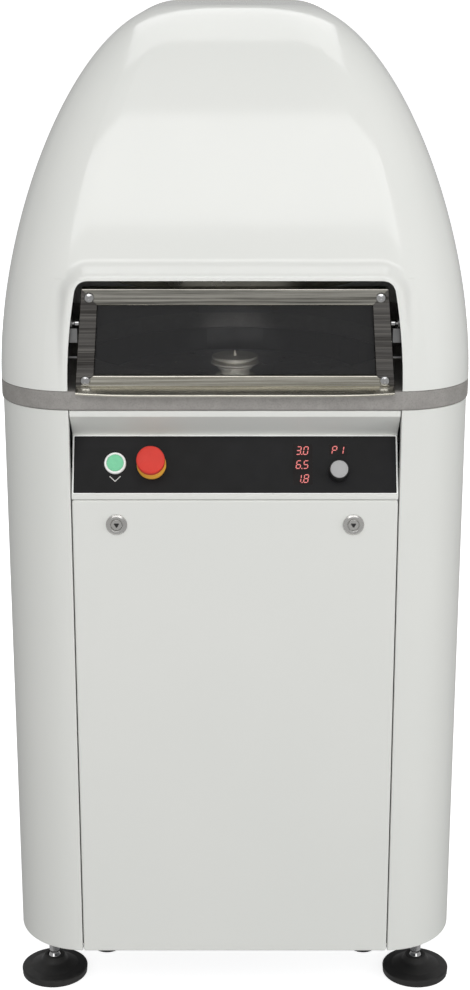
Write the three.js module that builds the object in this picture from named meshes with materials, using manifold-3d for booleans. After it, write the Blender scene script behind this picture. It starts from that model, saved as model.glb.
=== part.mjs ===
// Automatic dough divider and rounder for a bakery: a floor-standing cabinet on four levelling feet, a cast
// machine table with the dough well, a tilting hood with a swinging safety flap, and the works inside.
// Millimetres, +Z up, the front faces -Y, origin on the floor under the middle of the machine.
import * as THREE from "three";
import { mergeVertices } from "three/addons/utils/BufferGeometryUtils.js";
import Module from "manifold-3d";

const wasm = await Module();
wasm.setup();

// ---- Driving dimensions -------------------------------------------------------------------------------
const GAP = 0.3; // between pieces that touch
const RUNNING = 0.5; // round a shaft that turns in its bearing
const CABINET = { halfWidth: 320, halfDepth: 330, corner: 100, bottom: 109, sheet: 2.5 };
const TABLE = { halfWidth: 322, halfDepth: 332, corner: 102, bottom: 923, top: 949, wellRadius: 236 };
const PLATE = { halfWidth: 314, front: -313.5, rear: 315, corner: 94, bottom: 112, top: 120 };
const PANEL_EDGE = 222.5; // where the wrap-round side panels end
const LEAF_HALF = 221.1; // half width of everything between the side panels
const HOOD = { wall: 5, inset: 237, rise: 211, ease: 131, top: 1440, rearShare: 0.3, topCorner: 70 };
const WINDOW = { bottomHalf: 222.8, topHalf: 207.9, lean: 2.9, top: 1097, round: 16, rim: 13, brow: 20 };
const FLAP = {
  front: -326, back: -304, sheet: 2, bottom: 949.8, top: 1085.4, bottomHalf: 213, topHalf: 201.6,
};
const PANE = { bottom: 969.3, top: 1063.6, bottomHalf: 187.6, topHalf: 181, thick: 4.5, lap: 8 };
const PIVOT = { y: -312, z: 1037.5, radius: 3.8 };
const LIP = { front: -344, root: -324, straight: 130, sweep: 850, edge: 946.8, fall: 0.483, thick: 2.8 };
const FASCIA = { face: -330, top: 922.3, sheet: 2.4 };
// The recess under the table: a slope leads in to the head of a panel that leans back, facing the operator.
const SLOPE = { top: 914, bottom: 879.7, depth: 40 };
const LEAN = { foot: 804.8, length: 84.91, angle: Math.asin(40 / 84.91) };
const STRIKE = { top: 798.2, bottom: 775, y: -299.6 }; // what the door's locks turn up behind
// Places on the leaning panel: x across, s up the panel from its foot, height out of it.
const CONTROL = { halfWidth: 218.5, bottom: 2.6, top: 81.4, base: 0.3, face: 1.9 };
const START = { x: -162.4, s: 43.3 };
const ESTOP = { x: -113.2, s: 41.2 };
const SELECTOR = { x: 140.3, s: 31.5 };
const DISPLAYS = [
  { x: [78, 106], s: [13, 71] },
  { x: [127, 154], s: [54, 71] },
];
const DOOR = { face: -330, bottom: 109, top: 797.7, flange: 14 };
const LOCK = { x: 161, z: 763 };
const FOOT = { x: 278, y: 203, padRadius: 51, studRadius: 8 };
const THROW = 18; // eccentric throw of the rounding table
const MAIN_SHAFT = { x: 0, y: -THROW, radius: 24.6 };
const SIDE_PIN = { x: 120, y: 70 };
const WELL = { floorBottom: 846, floorTop: 860, wall: 4 };
const ROUNDER = { radius: 196, bottom: 884, top: 896 };
const BELL = { radius: 212, wall: 22, bottom: 1060, top: 1135, roof: 15 };
const STAMP = { bottom: 1076, top: 1088 };
const KNIFE = { count: 10, hubRadius: 46, hollow: 43, reach: 179, thick: 3, bottom: 1077, top: 1114 };
const CYLINDER = { radius: 52, bottom: 1235, top: 1425, bore: 22.8 };
const ROD = { radius: 22.4, bore: 11.5, top: 1396 };
const MOTOR = { y: 190, radius: 78, bottom: 500, top: 721.5 };
const BELT = { bottom: 750, top: 766, mainRadius: 110, motorRadius: 40, thick: 4 };
const HINGE = { y: 338, z: 955, x: 130, barrel: 6, pin: 3 };

// ---- Colours and finishes -----------------------------------------------------------------------------
function finish(color, roughness, metalness = 0) {
  return new THREE.MeshStandardMaterial({ color, roughness, metalness });
}

const MATERIAL = {
  shell: finish(0xdfe0da, 0.3),
  casting: finish(0x8d8b86, 0.7),
  stainless: finish(0xb9b6ad, 0.15, 1),
  steel: finish(0x9a9c9e, 0.4, 1),
  chrome: finish(0xe4e4e4, 0.05, 1),
  frame: finish(0x6f7478, 0.6, 0.3),
  rubber: finish(0x111111, 0.6),
  pane: new THREE.MeshStandardMaterial({ color: 0x202020, roughness: 0.05, transparent: true, opacity: 0.7 }),
  panel: finish(0x1c1c1c, 0.35),
  display: finish(0x2a0808, 0.1),
  green: finish(0x7fd3a0, 0.3),
  white: finish(0xf2f4f0, 0.3),
  red: finish(0xe0342a, 0.35),
  yellow: finish(0xf0b81e, 0.4),
  grey: finish(0xb4b4b4, 0.4),
  motor: finish(0x3a5a78, 0.5),
  bronze: finish(0xa8783a, 0.4, 1),
};

// ---- Solids: geometry in, geometry out ----------------------------------------------------------------
function toSolid(geometry) {
  const bare = new THREE.BufferGeometry().setAttribute("position", geometry.getAttribute("position").clone());
  if (geometry.index) bare.setIndex(geometry.index.clone());
  const merged = mergeVertices(bare, 1e-3);
  const vertProperties = merged.attributes.position.array;
  const triVerts = new Uint32Array(merged.index.array);
  const made = new wasm.Manifold(new wasm.Mesh({ numProp: 3, vertProperties, triVerts }));
  if (made.volume() <= 0) throw new Error("a piece is inside out");
  return made;
}

function toGeometry(made) {
  const { numProp, numVert, vertProperties, triVerts } = made.getMesh();
  const points = new Float32Array(numVert * 3);
  for (let i = 0; i < numVert; i++) points.set(vertProperties.subarray(i * numProp, i * numProp + 3), i * 3);
  const geometry = new THREE.BufferGeometry().setAttribute("position", new THREE.BufferAttribute(points, 3));
  return geometry.setIndex(new THREE.BufferAttribute(triVerts, 1));
}

const join = (...parts) => toGeometry(parts.map(toSolid).reduce((all, solid) => all.add(solid)));
const cut = (...parts) => toGeometry(parts.map(toSolid).reduce((left, solid) => left.subtract(solid)));
const common = (a, b) => toGeometry(toSolid(a).intersect(toSolid(b)));

function box([x0, x1], [y0, y1], [z0, z1]) {
  const middle = [(x0 + x1) / 2, (y0 + y1) / 2, (z0 + z1) / 2];
  return new THREE.BoxGeometry(x1 - x0, y1 - y0, z1 - z0).translate(...middle);
}

// Larger circles get more facets.
function facets(radius) {
  if (radius < 6.5) return 10;
  if (radius < 16) return 14;
  if (radius < 60) return 18;
  return radius < 130 ? 24 : 32;
}

// A profile of [radius, height] points, listed counter-clockwise, turned about Z. It starts and ends on the
// axis, or closes on itself.
function turned(profile, sides) {
  const points = profile.map(([r, h]) => new THREE.Vector2(r, h));
  const count = sides ?? facets(Math.max(...profile.map(([r]) => r)));
  return new THREE.LatheGeometry(points, count).rotateX(Math.PI / 2);
}

const rod = (radius, [z0, z1], sides) => turned([[0, z0], [radius, z0], [radius, z1], [0, z1]], sides);
const tube = (outer, inner, [z0, z1]) =>
  turned([[inner, z0], [outer, z0], [outer, z1], [inner, z1], [inner, z0]]);

// Turns a piece made along +Z so that it lies along -Y (towards the front) or along +X.
const facingFront = (geometry) => geometry.rotateX(Math.PI / 2);
const alongX = (geometry) => geometry.rotateY(Math.PI / 2);

function shapeOf(points) {
  return new THREE.Shape(points.map(([x, y]) => new THREE.Vector2(x, y)));
}

function extruded(shape, length, curveSegments = 12) {
  return new THREE.ExtrudeGeometry(shape, { depth: length, bevelEnabled: false, curveSegments });
}

// A shape drawn in plan and raised from z0 to z1.
const raised = (shape, [z0, z1], segments) => extruded(shape, z1 - z0, segments).translate(0, 0, z0);

// A shape drawn in elevation, x across and z up, and carried from y0 to y1.
function inElevation(shape, [y0, y1], segments) {
  return extruded(shape, y1 - y0, segments).rotateX(Math.PI / 2).translate(0, y1, 0);
}

// A shape drawn in side view, y across and z up, and carried from x0 to x1.
function inSideView(shape, [x0, x1]) {
  const turn = new THREE.Matrix4().makeBasis(
    new THREE.Vector3(0, 1, 0),
    new THREE.Vector3(0, 0, 1),
    new THREE.Vector3(1, 0, 0),
  );
  return extruded(shape, x1 - x0).applyMatrix4(turn).translate(x0, 0, 0);
}

function arc(x, y, radius, from, to, steps) {
  return Array.from({ length: steps + 1 }, (_, i) => {
    const angle = from + ((to - from) * i) / steps;
    return [x + radius * Math.cos(angle), y + radius * Math.sin(angle)];
  });
}

// The outline of a rectangle from x0 to x1 and y0 to y1 with round corners, counter-clockwise.
function roundedOutline([x0, x1], [y0, y1], radius, steps = 8) {
  const quarter = Math.PI / 2;
  const [left, right, low, high] = [x0 + radius, x1 - radius, y0 + radius, y1 - radius];
  const centres = [[right, low], [right, high], [left, high], [left, low]];
  return centres.flatMap(([x, y], i) => arc(x, y, radius, (i - 1) * quarter, i * quarter, steps));
}

function circleHole(x, y, radius, steps = 48) {
  const ring = arc(x, y, radius, 0, 2 * Math.PI, steps).slice(0, -1);
  return new THREE.Path(ring.map(([px, py]) => new THREE.Vector2(px, py)));
}

// ---- The assembled group ------------------------------------------------------------------------------
const machine = new THREE.Group();

function add(name, geometry, material, x = 0, y = 0, z = 0) {
  const mesh = new THREE.Mesh(geometry, MATERIAL[material]);
  mesh.name = name;
  mesh.position.set(x, y, z);
  machine.add(mesh);
}

const SIDES = [["left", -1], ["right", 1]];

// ---- Chassis ------------------------------------------------------------------------------------------
function footProfile() {
  const { padRadius, studRadius } = FOOT;
  return [
    [0, 0], [padRadius, 0], [padRadius, 9], [padRadius - 3, 12], [20, 23], [15, 31],
    [studRadius, 32], [studRadius, PLATE.bottom - GAP], [0, PLATE.bottom - GAP],
  ];
}

function addChassis() {
  const { halfWidth, front, rear, corner } = PLATE;
  const plan = roundedOutline([-halfWidth, halfWidth], [front, rear], corner, 6);
  add("base_plate", raised(shapeOf(plan), [PLATE.bottom, PLATE.top]), "frame");
  const height = [PLATE.top + GAP, TABLE.bottom - GAP];
  const walls = SIDES.map(([, sign]) => box([-5, 5], [-240, 240], height).translate(sign * 297, 0, 0));
  const shelf = box([-294, 294], [100, 238], [MOTOR.top + GAP, MOTOR.top + 8]);
  const shaftHole = rod(20, [MOTOR.top - 5, MOTOR.top + 20]).translate(0, MOTOR.y, 0);
  add("cabinet_frame", cut(join(shelf, ...walls), shaftHole), "frame");
  for (const [side, sign] of SIDES) {
    for (const [end, way] of [["front", -1], ["rear", 1]])
      add(`foot_${end}_${side}`, turned(footProfile()), "rubber", sign * FOOT.x, way * FOOT.y);
    const rest = turned([[0, 101], [20, 101], [20, 106.5], [18, 108.6], [8, 108.6], [8, 111.7], [0, 111.7]]);
    add(`door_rest_${side}`, rest, "steel", sign * 188, -304);
  }
}

// ---- Cabinet skins ------------------------------------------------------------------------------------
// Plan of a wrap-round side panel: from the door's edge round the front corner, back, and round the rear
// corner, with a short return at each end. Drawn for the right-hand side, mirrored for the left.
function sidePanelPlan(sign) {
  const { halfWidth, halfDepth, corner, sheet } = CABINET;
  const [cx, cy] = [halfWidth - corner, halfDepth - corner];
  const quarter = Math.PI / 2;
  const outside = [...arc(cx, -cy, corner, -quarter, 0, 8), ...arc(cx, cy, corner, 0, quarter, 8)];
  const inside = [
    ...arc(cx, cy, corner - sheet, quarter, 0, 8).slice(0, -1),
    ...arc(cx, -cy, corner - sheet, 0, -quarter, 8),
  ];
  const keep = ([x]) => x > PANEL_EDGE + sheet;
  const ends = (way) => [
    [PANEL_EDGE + sheet, way * (halfDepth - sheet)], [PANEL_EDGE + sheet, way * (halfDepth - 14)],
    [PANEL_EDGE, way * (halfDepth - 14)], [PANEL_EDGE, way * halfDepth],
  ];
  const loop = [...ends(-1), ...outside.filter(keep), ...ends(1).reverse(), ...inside.filter(keep)];
  const placed = loop.map(([x, y]) => [sign * x, y]);
  return shapeOf(sign < 0 ? placed.reverse() : placed);
}

function ventSlots() {
  const slots = [];
  for (const x of [-110, 110])
    for (let row = 0; row < 7; row++) {
      const z = 640 + row * 26;
      slots.push(box([x - 60, x + 60], [CABINET.halfDepth - 10, CABINET.halfDepth + 10], [z, z + 7]));
    }
  return slots;
}

function addCabinet() {
  const height = [CABINET.bottom, TABLE.bottom - 0.5];
  for (const [side, sign] of SIDES) add(`side_panel_${side}`, raised(sidePanelPlan(sign), height), "shell");
  const back = box([-LEAF_HALF, LEAF_HALF], [CABINET.halfDepth - CABINET.sheet, CABINET.halfDepth], height);
  const glandHole = facingFront(rod(9, [-340, -320])).translate(-150, 0, 190);
  add("rear_panel", cut(back, glandHole, ...ventSlots()), "shell");
  const glandProfile = [
    [0, -343.5], [6, -343.5], [11, -338], [13, -336], [13, -330.4], [8.6, -330.4], [8.6, -316], [0, -316],
  ];
  const gland = facingFront(turned(glandProfile)).translate(-150, 0, 190);
  add("cable_gland", gland, "rubber");
}

function addDoor() {
  const { face, bottom, top, flange } = DOOR;
  const sheet = 2.2;
  const pan = box([-LEAF_HALF, LEAF_HALF], [face, face + flange], [bottom, top]);
  const inside = box(
    [-LEAF_HALF + sheet, LEAF_HALF - sheet],
    [face + sheet, face + flange + 1],
    [bottom + sheet, top - sheet],
  );
  const holes = SIDES.map(([, sign]) =>
    facingFront(rod(11.3, [310, 340])).translate(sign * LOCK.x, 0, LOCK.z));
  add("front_door", cut(pan, inside, ...holes), "shell");
  for (const [side, sign] of SIDES) addLock(side, sign * LOCK.x);
}

// A quarter-turn lock: a rosette with its sleeve through the door, and a barrel whose cam turns up behind the
// fascia's lower edge to lock the door. It is drawn released, with the cam pointing inwards.
function addLock(side, x) {
  const profile = [
    [8.1, 312], [10.9, 312], [10.9, 330.3], [15, 330.3], [15, 332], [13.4, 333.6], [8.1, 333.6], [8.1, 312],
  ];
  add(`lock_housing_${side}`, facingFront(turned(profile)), "chrome", x, 0, LOCK.z);
  const keyhole = rod(4.6, [329.5, 340], 3);
  const barrel = cut(rod(7.7, [290.6, 332.8]), keyhole);
  const inwards = x > 0 ? [-28, 7] : [-7, 28];
  const cam = box(inwards, [-6, 6], [290.6, 293.8]);
  add(`lock_barrel_${side}`, facingFront(join(barrel, cam)), "steel", x, 0, LOCK.z);
}

// ---- Control recess -----------------------------------------------------------------------------------
// The section of a bent sheet: a line of points, thickened by the sheet on its left-hand side.
function bentSheet(line, sheet) {
  const left = (a, b) => {
    const length = Math.hypot(b[0] - a[0], b[1] - a[1]);
    return [(a[1] - b[1]) / length, (b[0] - a[0]) / length];
  };
  const offset = line.map((point, i) => {
    const before = left(line[Math.max(i - 1, 0)], line[Math.max(i, 1)]);
    const after = left(line[Math.min(i, line.length - 2)], line[Math.min(i + 1, line.length - 1)]);
    const share = sheet / (1 + before[0] * after[0] + before[1] * after[1]);
    return [point[0] + (before[0] + after[0]) * share, point[1] + (before[1] + after[1]) * share];
  });
  return shapeOf([...line, ...offset.reverse()]);
}

// Moves a piece drawn on the flat (x across, y up the panel, z out of it) on to the leaning panel.
function onPanel(geometry, { x = 0, s = 0 } = {}) {
  return geometry.translate(x, s, 0).rotateX(Math.PI / 2 - LEAN.angle).translate(0, FASCIA.face, LEAN.foot);
}

function panelOpenings() {
  const bores = [[START, 11.6], [ESTOP, 10.6], [SELECTOR, 5]].map(([place, radius]) =>
    onPanel(rod(radius, [-20, 20]), place));
  const windows = DISPLAYS.map(({ x, s }) => onPanel(box(x, s, [-20, 20])));
  return [...bores, ...windows];
}

function addFascia() {
  const { face, top, sheet } = FASCIA;
  const { bottom, y } = STRIKE;
  const line = [
    [y, top], [face, top], [face, SLOPE.top], [face + SLOPE.depth, SLOPE.bottom], [face, LEAN.foot],
    [face, STRIKE.top], [y, STRIKE.top], [y, bottom],
  ];
  const sheetMetal = inSideView(bentSheet(line, sheet), [-LEAF_HALF, LEAF_HALF]);
  add("control_fascia", cut(sheetMetal, ...panelOpenings()), "shell");
  const { halfWidth, base, face: surface } = CONTROL;
  const blank = box([-halfWidth, halfWidth], [CONTROL.bottom, CONTROL.top], [base, surface]);
  add("control_plate", cut(onPanel(blank), ...panelOpenings()), "panel");
  const inset = ([low, high]) => [low + 0.4, high - 0.4];
  const lenses = DISPLAYS.map(({ x, s }) => box(inset(x), inset(s), [-6, surface - 0.5]));
  const board = box([DISPLAYS[0].x[0] + 0.4, DISPLAYS[1].x[1] - 0.4], inset(DISPLAYS[1].s), [-10, -5]);
  add("display_unit", onPanel(join(board, ...lenses)), "display");
}

// The controls are turned about their own axes, with heights measured out of the panel.
function addControls() {
  const face = CONTROL.face;
  const back = -18;
  const placed = (profile, place) => onPanel(turned(profile), place);
  const bezel = [
    [9.4, back], [11.2, back], [11.2, face + GAP], [14.8, face + GAP], [14.8, face + 4], [13.8, face + 5.5],
    [11.9, face + 5.5], [11.9, face - 1], [9.4, face - 1], [9.4, back],
  ];
  add("start_bezel", placed(bezel, START), "white");
  const cap = [
    [0, back - 4], [9, back - 4], [9, face + 2.4], [11.4, face + 2.4], [11.4, face + 5], [0, face + 5],
  ];
  add("start_cap", placed(cap, START), "green");
  const collar = [
    [9.7, face + GAP], [19.9, face + GAP], [19.9, 6.5], [18.5, 8.5], [13.5, 17.5], [9.7, 17.5],
    [9.7, face + GAP],
  ];
  add("estop_collar", placed(collar, ESTOP), "yellow");
  add("estop_stem", placed([[0, back], [9.2, back], [9.2, 25.5], [0, 25.5]], ESTOP), "grey");
  const mushroom = [
    [0, 25.8], [9.5, 25.8], [9.5, 23.5], [18, 23.5], [19.2, 25.5], [19.2, 34.5], [17.5, 38], [12, 39.5],
    [0, 40],
  ];
  add("estop_head", placed(mushroom, ESTOP), "red");
  add("selector_shaft", placed([[0, back], [3, back], [3, 16], [0, 16]], SELECTOR), "steel");
  const knob = [
    [3.3, 3.9], [13.8, 3.9], [13.8, 6], [12.6, 21.5], [11.8, 22.7], [0, 22.7], [0, 16.4], [3.3, 16.4],
    [3.3, 3.9],
  ];
  add("selector_knob", placed(knob, SELECTOR), "grey");
}

// ---- Machine table and rounding drive -----------------------------------------------------------------
function addTable() {
  const { halfWidth, halfDepth, corner, bottom, top, wellRadius } = TABLE;
  const plan = shapeOf(roundedOutline([-halfWidth, halfWidth], [-halfDepth, halfDepth], corner));
  plan.holes.push(circleHole(0, 0, wellRadius));
  add("machine_table", raised(plan, [bottom, top]), "casting");
  const rim = bottom - GAP;
  const { floorBottom, floorTop, wall } = WELL;
  const bowl = turned([
    [0, floorBottom], [wellRadius + wall, floorBottom], [wellRadius + wall, rim], [wellRadius, rim],
    [wellRadius, floorTop], [0, floorTop],
  ]);
  const mainBoss = rod(46, [790, floorBottom + 1]).translate(MAIN_SHAFT.x, MAIN_SHAFT.y, 0);
  const mainBore = rod(31, [780, floorTop + 1]).translate(MAIN_SHAFT.x, MAIN_SHAFT.y, 0);
  const sideBosses = SIDES.map(([, s]) =>
    rod(26, [806, floorBottom + 1]).translate(s * SIDE_PIN.x, SIDE_PIN.y - THROW, 0));
  const sideBores = SIDES.map(([, s]) =>
    rod(14, [800, floorTop + 1]).translate(s * SIDE_PIN.x, SIDE_PIN.y - THROW, 0));
  add("well_pan", cut(join(bowl, mainBoss, ...sideBosses), mainBore, ...sideBores), "casting");
  const bush = tube(30.5, MAIN_SHAFT.radius + RUNNING, [790, floorTop]);
  add("main_bearing", bush, "bronze", MAIN_SHAFT.x, MAIN_SHAFT.y);
}

function addRoundingDrive() {
  const { floorTop } = WELL;
  const shaft = rod(MAIN_SHAFT.radius, [744, floorTop + 2]);
  const web = rod(36, [floorTop + 2, floorTop + 12]);
  const pin = rod(12, [floorTop + 11, 890]).translate(0, THROW, 0);
  add("main_crank", join(shaft, web, pin), "steel", MAIN_SHAFT.x, MAIN_SHAFT.y);
  const pulley = tube(BELT.mainRadius, MAIN_SHAFT.radius + GAP, [BELT.bottom - 4, BELT.top + 4]);
  add("crank_pulley", pulley, "casting", MAIN_SHAFT.x, MAIN_SHAFT.y);
  for (const [side, sign] of SIDES) {
    const idler = join(
      rod(13.6, [800, floorTop + 2]),
      rod(28, [floorTop + 2, floorTop + 9]),
      rod(8, [floorTop + 8, 889]).translate(0, THROW, 0),
    );
    add(`side_crank_${side}`, idler, "steel", sign * SIDE_PIN.x, SIDE_PIN.y - THROW);
  }
  const { radius, bottom, top } = ROUNDER;
  const disc = rod(radius, [bottom, top]);
  const sockets = [rod(20, [876, bottom + 1])];
  const bores = [rod(12.6, [870, 891])];
  for (const [, sign] of SIDES) {
    sockets.push(rod(16, [876, bottom + 1]).translate(sign * SIDE_PIN.x, SIDE_PIN.y, 0));
    bores.push(rod(9, [870, 891]).translate(sign * SIDE_PIN.x, SIDE_PIN.y, 0));
  }
  add("rounding_table", cut(join(disc, ...sockets), ...bores), "stainless");
  const base = top + GAP;
  const hub = turned([
    [0, base], [29, base], [29, base + 2], [22, base + 4], [22, 908], [26, 908], [26, 911.5], [20, 911.5],
    [20, 915], [36, 915], [36, 918], [20, 918], [20, 923], [35, 923], [35, 927], [2.2, 927], [2.2, 933],
    [0, 934.5],
  ]);
  add("plate_hub", hub, "chrome");
}

// The outline of a belt or of the space inside it: the hull of a circle round each pulley.
function beltOutline(grow) {
  const [big, small] = [BELT.mainRadius + grow, BELT.motorRadius + grow];
  const lean = Math.asin((big - small) / (MOTOR.y - MAIN_SHAFT.y));
  return [
    ...arc(0, MAIN_SHAFT.y, big, Math.PI - lean, 2 * Math.PI + lean, 20),
    ...arc(0, MOTOR.y, small, lean, Math.PI - lean, 8),
  ];
}

function addMotor() {
  const { y, radius, bottom, top } = MOTOR;
  const can = turned([[0, bottom], [radius - 14, bottom], [radius, bottom + 12], [radius, top], [0, top]]);
  const shaftHole = rod(13, [top - 30, top + 5]);
  add("drive_motor", cut(can, shaftHole), "motor", 0, y);
  const shaft = rod(12, [top - 25, BELT.bottom]);
  const wheel = rod(BELT.motorRadius, [BELT.bottom - 4, BELT.top + 4]);
  add("motor_pulley", join(shaft, wheel), "steel", 0, y);
  const loop = shapeOf(beltOutline(BELT.thick + 0.5));
  loop.holes.push(new THREE.Path(beltOutline(0.5).reverse().map(([px, py]) => new THREE.Vector2(px, py))));
  add("drive_belt", raised(loop, [BELT.bottom, BELT.top]), "rubber");
}

// ---- Hydraulics and electrics in the cabinet ----------------------------------------------------------
function addServices() {
  add("hydraulic_tank", box([-280, -60], [-230, 20], [PLATE.top + GAP, 300]), "frame");
  const pump = turned([[0, 300.3], [68, 300.3], [68, 312], [56, 312], [56, 480], [44, 492], [0, 492]]);
  add("pump_motor", pump, "motor", -170, -105);
  add("electrical_box", box([170, 291.5], [-200, 100], [330, 660]), "grey");
}

// ---- Pressing and dividing head -----------------------------------------------------------------------
// Radial blades from inside the hub's ring out to the given reach.
function knifeBlades(reach, thick, z) {
  const pitch = (2 * Math.PI) / KNIFE.count;
  const blade = () => box([KNIFE.hollow + 1.5, reach], [-thick / 2, thick / 2], z);
  return Array.from({ length: KNIFE.count }, (_, i) => blade().rotateZ((i + 0.5) * pitch));
}

function addHead() {
  const stand = TABLE.top + GAP;
  add("head_pillar", box([-60, 60], [225, 285], [stand, 1244.7]), "casting");
  const beam = box([-66, 66], [-66, 290], [1245, 1300]);
  add("head_arm", cut(beam, rod(CYLINDER.radius + GAP, [1240, 1310])), "casting");
  const { radius, bottom, top, bore } = CYLINDER;
  const roof = top - 12;
  const barrel = turned([
    [bore, bottom], [radius, bottom], [radius, top - 3], [radius - 3, top], [0, top], [0, roof], [bore, roof],
    [bore, bottom],
  ]);
  add("press_cylinder", barrel, "steel");
  const inner = BELL.radius - BELL.wall;
  const under = BELL.top - BELL.roof;
  const bell = turned([
    [inner, BELL.bottom], [BELL.radius, BELL.bottom], [BELL.radius, BELL.top - 4],
    [BELL.radius - 4, BELL.top], [ROD.bore, BELL.top], [ROD.bore, under], [inner, under],
    [inner, BELL.bottom],
  ]);
  add("press_bell", bell, "stainless");
  add("piston_rod", tube(ROD.radius, ROD.bore, [BELL.top + GAP, ROD.top]), "chrome");
  const stamp = rod(inner - GAP, [STAMP.bottom, STAMP.top]);
  const through = [STAMP.bottom - 5, STAMP.top + 5];
  const slots = knifeBlades(KNIFE.reach + 1, KNIFE.thick + 1, through);
  add("press_plate", cut(stamp, rod(KNIFE.hubRadius + 1, through), ...slots), "white");
  const { hollow, hubRadius, reach, thick: blade } = KNIFE;
  const ceiling = KNIFE.top - 8;
  const hub = turned([
    [hollow, KNIFE.bottom], [hubRadius, KNIFE.bottom], [hubRadius, KNIFE.top], [0, KNIFE.top], [0, ceiling],
    [hollow, ceiling], [hollow, KNIFE.bottom],
  ]);
  const stem = rod(10, [KNIFE.top - 1, ROD.top - 12]);
  const blades = knifeBlades(reach, blade, [KNIFE.bottom, KNIFE.top]);
  add("knife_star", join(hub, stem, ...blades), "steel");
}

// ---- Hood ---------------------------------------------------------------------------------------------
// The hood's sides lean in along one curve: [inset from the base, height].
function hoodProfile() {
  const base = TABLE.top + GAP;
  const { inset, rise, ease, top } = HOOD;
  return new THREE.CubicBezierCurve(
    new THREE.Vector2(0, base),
    new THREE.Vector2(0, base + rise),
    new THREE.Vector2(inset - ease, top),
    new THREE.Vector2(inset, top),
  );
}

// One horizontal section of the hood, pulled in by the wall where the inner skin is wanted.
function hoodSection(inset, wall) {
  const corner = TABLE.corner + (HOOD.topCorner - TABLE.corner) * (inset / HOOD.inset) - wall;
  const half = TABLE.halfWidth - inset - wall;
  const rear = TABLE.halfDepth - inset * HOOD.rearShare - wall;
  return roundedOutline([-half, half], [-TABLE.halfDepth + inset + wall, rear], Math.min(corner, half), 6);
}

// A closed solid through rings of equal length, from the lowest to the highest.
function loft(rings) {
  const count = rings[0].length;
  const points = rings.flat(2);
  const faces = [];
  for (let level = 0; level < rings.length - 1; level++)
    for (let i = 0; i < count; i++) {
      const [a, b] = [level * count + i, level * count + ((i + 1) % count)];
      faces.push(a, b, b + count, a, b + count, a + count);
    }
  const last = (rings.length - 1) * count;
  for (let i = 1; i < count - 1; i++) faces.push(0, i + 1, i, last, last + i, last + i + 1);
  const geometry = new THREE.BufferGeometry();
  geometry.setAttribute("position", new THREE.Float32BufferAttribute(points, 3));
  return geometry.setIndex(faces);
}

function hoodSkin(wall) {
  const levels = hoodProfile().getPoints(9);
  const rings = levels.map(({ x, y }) => hoodSection(x, wall).map(([px, py]) => [px, py, y - wall]));
  return loft(rings);
}

// The opening in the hood's front: its sides stand upright at the table and lean in further and further
// above it, up to round corners.
function windowShape(grow, bottom, top) {
  const { bottomHalf, topHalf, lean, round } = WINDOW;
  const [low, high] = [bottomHalf + grow, topHalf + grow];
  const [foot, shoulder] = [TABLE.top + GAP, top - round];
  const side = high + lean;
  const shape = new THREE.Shape();
  shape.moveTo(-low, bottom);
  shape.lineTo(low, bottom);
  shape.lineTo(low, foot);
  shape.quadraticCurveTo(low, (foot + shoulder) / 2, side, shoulder);
  shape.quadraticCurveTo(high, top, high - round, top);
  shape.lineTo(-high + round, top);
  shape.quadraticCurveTo(-high, top, -side, shoulder);
  shape.quadraticCurveTo(-low, (foot + shoulder) / 2, -low, foot);
  return shape;
}

function addHood() {
  const base = TABLE.top + GAP;
  const { rim, brow, top } = WINDOW;
  const face = -TABLE.halfDepth;
  const surround = inElevation(windowShape(rim, base, top + brow), [face, face + 40], 5);
  const browCut = shapeOf([
    [face, base], [face + 40, base], [face + 40, top + brow + 1], [face + brow, top + brow + 1],
    [face, top + 4],
  ]);
  const dormer = common(surround, inSideView(browCut, [-260, 260]));
  const opening = inElevation(windowShape(0, base - 10, top), [face - 10, face + 60], 5);
  add("hood_shell", cut(join(hoodSkin(0), dormer), hoodSkin(HOOD.wall), opening), "shell");
}

function addHoodHinges() {
  const { y, z, x, barrel, pin } = HINGE;
  const face = TABLE.halfDepth + GAP;
  for (const [side, sign] of SIDES) {
    const knuckle = alongX(rod(barrel, [-12, 12])).translate(0, y, z);
    const shaft = alongX(rod(pin, [-26, 26])).translate(0, y, z);
    const strap = box([-12, 12], [face, face + 4], [926, z]);
    add(`hinge_base_${side}`, join(knuckle, shaft, strap), "steel", sign * x);
    const ends = [-19.5, 19.5].map((at) =>
      alongX(tube(barrel, pin + GAP, [-7, 7])).translate(at, y, z));
    const bridge = box([-26.5, 26.5], [face, face + 3.5], [z + barrel + 3, 988]);
    const arms = [-19.5, 19.5].map((at) =>
      box([at - 7, at + 7], [face, face + 3.5], [z + 3.5, z + barrel + 4]));
    add(`hinge_leaf_${side}`, join(bridge, ...arms, ...ends), "steel", sign * x);
  }
}

// ---- Safety flap --------------------------------------------------------------------------------------
const flapHalfAt = (z) =>
  FLAP.bottomHalf + ((FLAP.topHalf - FLAP.bottomHalf) * (z - FLAP.bottom)) / (FLAP.top - FLAP.bottom);

function trapezium(low, high, bottom, top) {
  return [[-low, bottom], [low, bottom], [high, top], [-high, top]];
}

// The grip lip along the flap's foot: it falls by LIP.fall for each millimetre forward, over the table's
// edge, and its ends sweep back.
function flapLip() {
  const half = FLAP.bottomHalf - 1;
  const { front, root, straight, sweep, edge, fall, thick } = LIP;
  const turn = Math.asin((half - straight) / sweep);
  const forward = -Math.PI / 2;
  const plan = shapeOf([
    ...arc(-straight, front + sweep, sweep, forward - turn, forward, 5),
    ...arc(straight, front + sweep, sweep, forward, forward + turn, 5),
    [half, root],
    [-half, root],
  ]);
  const rise = (root - front) * fall;
  const foot = edge - thick;
  const side = shapeOf([[front, edge], [front, foot], [root, foot + rise], [root, edge + rise]]);
  return common(raised(plan, [foot, edge + rise]), inSideView(side, [-half, half]));
}

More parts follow.
